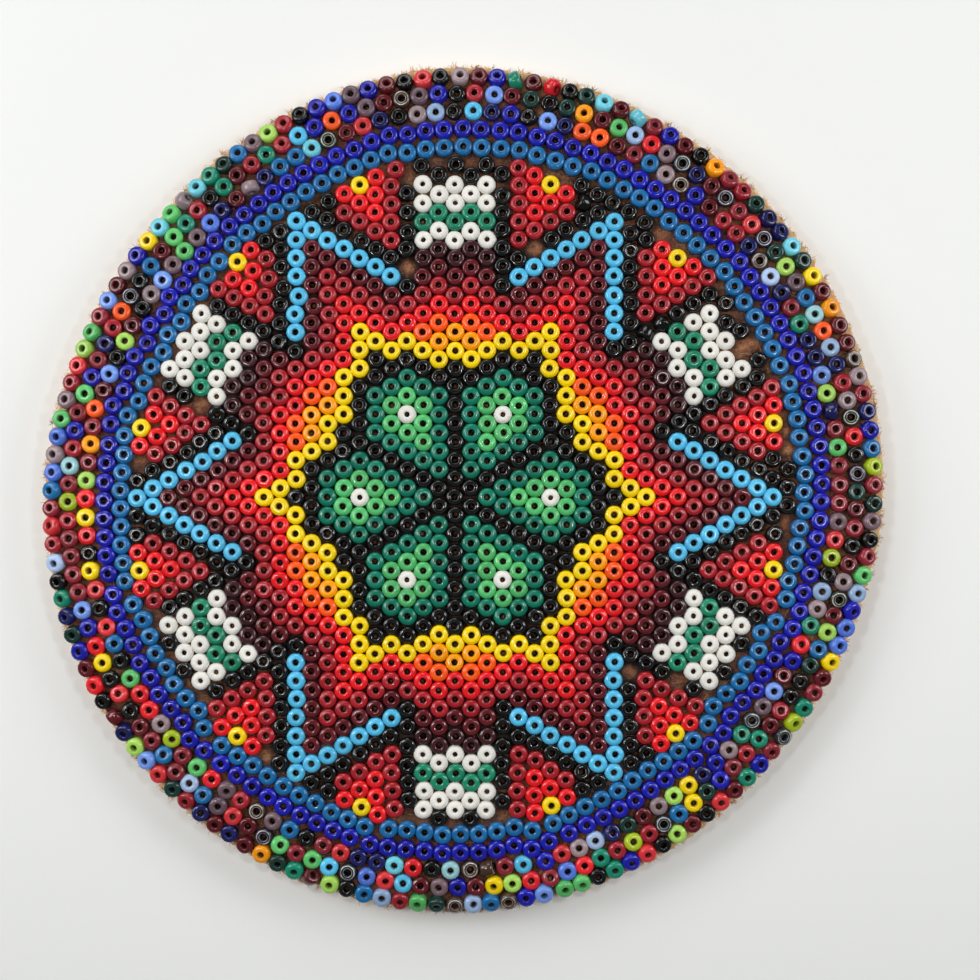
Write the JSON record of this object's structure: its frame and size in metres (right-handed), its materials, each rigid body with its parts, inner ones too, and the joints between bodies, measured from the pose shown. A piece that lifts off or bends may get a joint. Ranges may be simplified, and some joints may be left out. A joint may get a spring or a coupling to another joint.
{
  "type": "beaded disc",
  "caption": "Flat round folk-craft panel: glass seed beads set in wax on a sawn fibreboard disc, with a flower, star and chevron design, blue rings and a mixed rim.",
  "frame": {"origin": "middle of the flat back face, on the surface that the panel lies on", "axes": "+Z out of the beaded face; +Y towards one of the white squares; +X to the right of it, seen from the front"},
  "size_m": [0.0998, 0.1004, 0.0047],
  "materials": {
    "fibreboard": "matt, sawn and fibrous",
    "glass_sky_blue": "glossy, opaque",
    "glass_cobalt": "glossy, opaque",
    "glass_crimson": "glossy, opaque",
    "glass_dark_maroon": "glossy, nearly opaque",
    "glass_black": "glossy, nearly opaque",
    "glass_maroon": "glossy, nearly opaque",
    "glass_medium_blue": "glossy, opaque",
    "glass_white": "satin, opaque",
    "glass_light_green": "glossy, opaque",
    "glass_dark_green": "glossy, opaque",
    "glass_bottle_green": "glossy, nearly opaque",
    "glass_clear": "glossy, clear with a lined or tinted hole",
    "glass_cornflower": "glossy, opaque",
    "glass_grass_green": "glossy, opaque",
    "glass_lime": "glossy, opaque",
    "glass_mauve": "glossy, opaque",
    "glass_navy": "glossy, nearly opaque",
    "glass_amber": "glossy, opaque",
    "glass_pale_blue": "glossy, opaque",
    "glass_scarlet": "glossy, opaque",
    "glass_teal": "glossy, opaque",
    "glass_turquoise": "glossy, opaque",
    "glass_yellow": "glossy, opaque",
    "glass_stripe_green": "glossy, opaque",
    "glass_orange": "glossy, opaque",
    "beeswax": "matt, smeared"
  },
  "bodies": {
    "root": {"board": "fibreboard", "chevron_1": "glass_sky_blue", "chevron_2": "glass_sky_blue", "chevron_3": "glass_sky_blue", "chevron_4": "glass_sky_blue", "chevron_5": "glass_sky_blue", "chevron_6": "glass_sky_blue", "cobalt_ring": "glass_cobalt", "crimson_band": "glass_crimson", "dark_maroon_band": "glass_dark_maroon", "flower_ground": "glass_black", "maroon_band": "glass_maroon", "medium_blue_ring": "glass_medium_blue", "outer_ground": "glass_black", "petal_eyes": "glass_white", "petal_heart_1": "glass_light_green", "petal_heart_2": "glass_light_green", "petal_heart_3": "glass_light_green", "petal_heart_4": "glass_light_green", "petal_heart_5": "glass_light_green", "petal_heart_6": "glass_light_green", "petal_outline_1": "glass_dark_green", "petal_outline_2": "glass_dark_green", "petal_outline_3": "glass_dark_green", "petal_outline_4": "glass_dark_green", "petal_outline_5": "glass_dark_green", "petal_outline_6": "glass_dark_green", "rim_black": "glass_black", "rim_bottle_green": "glass_bottle_green", "rim_clear": "glass_clear", "rim_cobalt": "glass_cobalt", "rim_cornflower": "glass_cornflower", "rim_crimson": "glass_crimson", "rim_grass_green": "glass_grass_green", "rim_lime": "glass_lime", "rim_maroon": "glass_maroon", "rim_mauve": "glass_mauve", "rim_navy": "glass_navy", "rim_orange": "glass_amber", "rim_pale_blue": "glass_pale_blue", "rim_red": "glass_scarlet", "rim_steel_blue": "glass_medium_blue", "rim_teal": "glass_teal", "rim_turquoise": "glass_turquoise", "rim_yellow": "glass_yellow", "scarlet_band": "glass_scarlet", "square_stripes": "glass_stripe_green", "square_white_1": "glass_white", "square_white_2": "glass_white", "square_white_3": "glass_white", "square_white_4": "glass_white", "square_white_5": "glass_white", "square_white_6": "glass_white", "star_amber": "glass_amber", "star_orange": "glass_orange", "star_outline": "glass_yellow", "triangle_dots": "glass_yellow", "triangle_edges": "glass_crimson", "triangle_hearts": "glass_scarlet", "wax_bed": "beeswax"}
  },
  "joints": []
}
